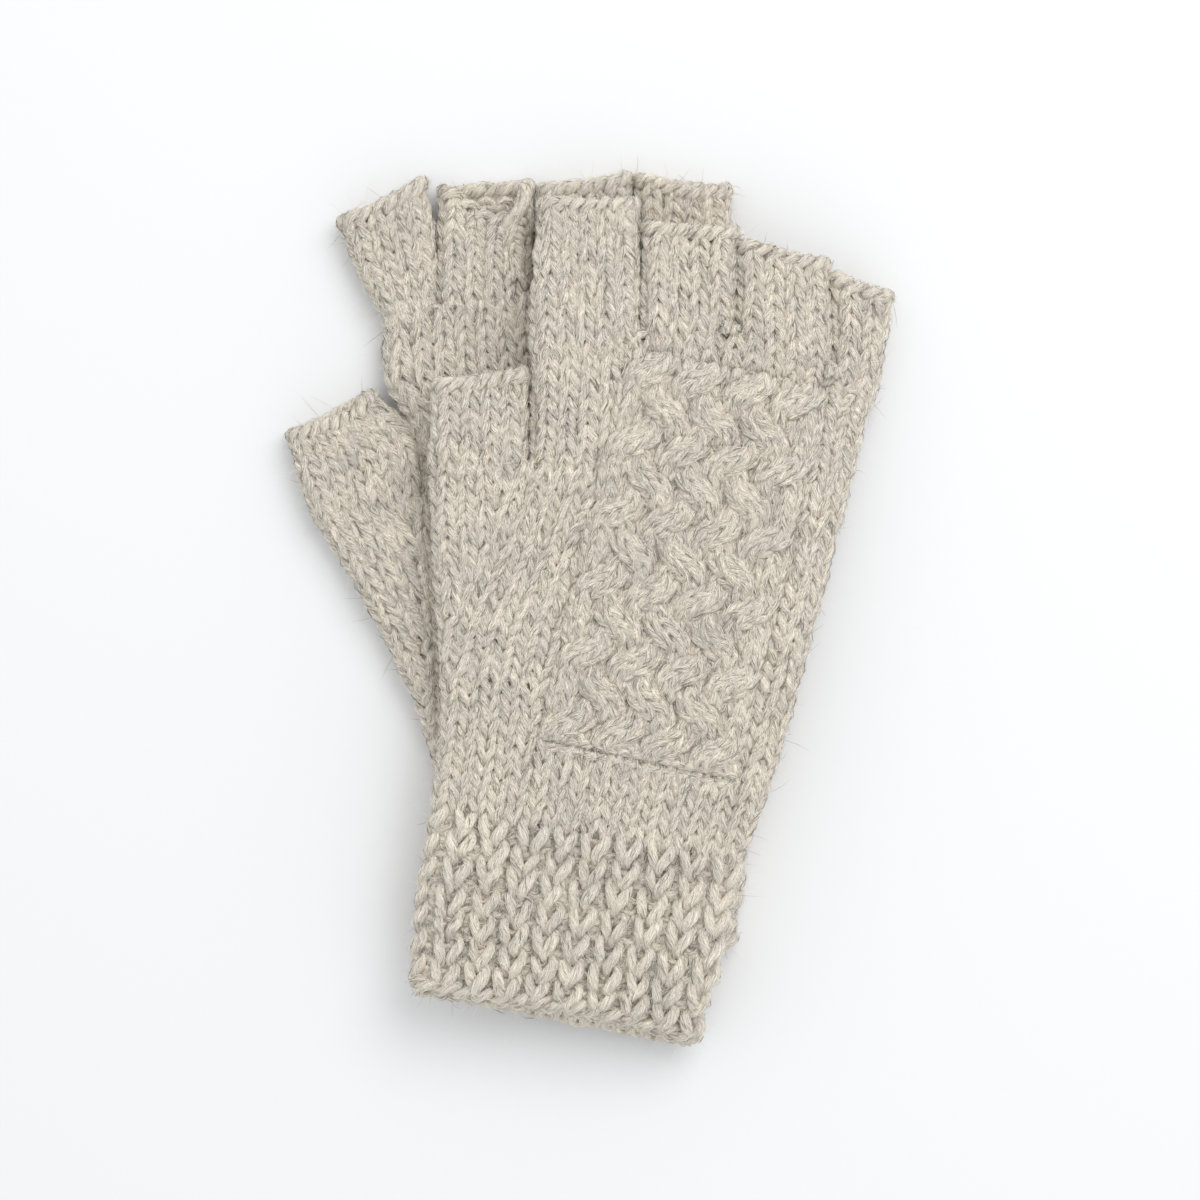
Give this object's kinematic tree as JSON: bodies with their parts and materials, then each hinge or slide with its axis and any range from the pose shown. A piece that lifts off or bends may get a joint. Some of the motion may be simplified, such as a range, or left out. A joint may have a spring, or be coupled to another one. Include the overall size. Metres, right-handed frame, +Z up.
{
  "type": "fingerless gloves",
  "caption": "Pair of hand-knitted half-finger gloves with ribbed cuffs and a woven-look back panel, lying flat with one glove on the other.",
  "frame": {"origin": "on the table under the middle of the pair", "axes": "+X across the hands to the right, +Y along the gloves towards the fingertips, +Z up from the table"},
  "size_m": [0.1668, 0.2374, 0.0264],
  "materials": {
    "yarn": "undyed heathered wool yarn, matte, with a soft halo of fibres",
    "edge_yarn": "the same undyed wool in cast-on and cast-off edges, matte"
  },
  "bodies": {
    "left_hand": {"left_hand": "yarn", "left_woven_panel": "yarn"},
    "left_cuff": {"left_cuff": "yarn", "left_cuff_cast_on_edge": "edge_yarn"},
    "left_thumb": {"left_thumb": "yarn", "left_thumb_cast_off_edge": "edge_yarn"},
    "left_index": {"left_index": "yarn", "left_index_cast_off_edge": "edge_yarn"},
    "left_middle": {"left_middle": "yarn", "left_middle_cast_off_edge": "edge_yarn"},
    "left_ring": {"left_ring": "yarn", "left_ring_cast_off_edge": "edge_yarn"},
    "left_little": {"left_little": "yarn", "left_little_cast_off_edge": "edge_yarn"},
    "right_hand": {"right_hand": "yarn", "right_woven_panel": "yarn"},
    "right_cuff": {"right_cuff": "yarn", "right_cuff_cast_on_edge": "edge_yarn"},
    "right_thumb": {"right_thumb": "yarn", "right_thumb_cast_off_edge": "edge_yarn"},
    "right_index": {"right_index": "yarn", "right_index_cast_off_edge": "edge_yarn"},
    "right_middle": {"right_middle": "yarn", "right_middle_cast_off_edge": "edge_yarn"},
    "right_ring": {"right_ring": "yarn", "right_ring_cast_off_edge": "edge_yarn"},
    "right_little": {"right_little": "yarn", "right_little_cast_off_edge": "edge_yarn"}
  },
  "joints": [
    {"name": "right_glove_lift", "type": "slide", "parent": "left_hand", "child": "right_hand", "axis": [0, 0, 1], "range_m": [0, 0.12]},
    {"name": "right_thumb_fold", "type": "hinge", "parent": "right_hand", "child": "right_thumb", "pos_m": [-0.03055, 0.03825, 0.02532], "axis": [1, 0, 0], "range_deg": [0, 75]},
    {"name": "right_index_fold", "type": "hinge", "parent": "right_hand", "child": "right_index", "pos_m": [-0.00125, 0.06975, 0.02532], "axis": [1, 0, 0], "range_deg": [0, 75]},
    {"name": "right_middle_fold", "type": "hinge", "parent": "right_hand", "child": "right_middle", "pos_m": [0.0263, 0.07275, 0.02532], "axis": [1, 0, 0], "range_deg": [0, 75]},
    {"name": "right_ring_fold", "type": "hinge", "parent": "right_hand", "child": "right_ring", "pos_m": [0.0522, 0.06925, 0.02443], "axis": [0.9875, 0, -0.1577], "range_deg": [0, 75]},
    {"name": "right_little_fold", "type": "hinge", "parent": "right_hand", "child": "right_little", "pos_m": [0.07155, 0.05775, 0.01868], "axis": [0.9168, 0, -0.3993], "range_deg": [0, 75]},
    {"name": "right_cuff_fold", "type": "hinge", "parent": "right_hand", "child": "right_cuff", "pos_m": [-0.0006, -0.0613, 0.0253], "axis": [-0.985, 0.1725, 0], "range_deg": [0, 75]},
    {"name": "left_thumb_fold", "type": "hinge", "parent": "left_hand", "child": "left_thumb", "pos_m": [-0.0612, 0.02775, 0.0121], "axis": [0.9812, 0.193, 0], "range_deg": [0, 60]},
    {"name": "left_index_fold", "type": "hinge", "parent": "left_hand", "child": "left_index", "pos_m": [-0.04945, 0.07975, 0.0121], "axis": [1, 0, 0], "range_deg": [0, 75]},
    {"name": "left_middle_fold", "type": "hinge", "parent": "left_hand", "child": "left_middle", "pos_m": [-0.029, 0.08375, 0.0121], "axis": [1, 0, 0], "range_deg": [0, 75]},
    {"name": "left_ring_fold", "type": "hinge", "parent": "left_hand", "child": "left_ring", "pos_m": [-0.00205, 0.08475, 0.0121], "axis": [1, 0, 0], "range_deg": [0, 35]},
    {"name": "left_little_fold", "type": "hinge", "parent": "left_hand", "child": "left_little", "pos_m": [0.0258, 0.08375, 0.0121], "axis": [1, 0, 0], "range_deg": [0, 35]},
    {"name": "left_cuff_fold", "type": "hinge", "parent": "left_hand", "child": "left_cuff", "pos_m": [0.0007, -0.0464, 0.0121], "axis": [-0.9968, -0.0794, 0], "range_deg": [0, 35]}
  ],
  "couplings": [
    {"joint": "left_ring_fold", "follows": "right_glove_lift", "rad_per_m": 5.0855},
    {"joint": "left_little_fold", "follows": "right_glove_lift", "rad_per_m": 5.0855},
    {"joint": "left_cuff_fold", "follows": "right_glove_lift", "rad_per_m": 5.0855}
  ]
}
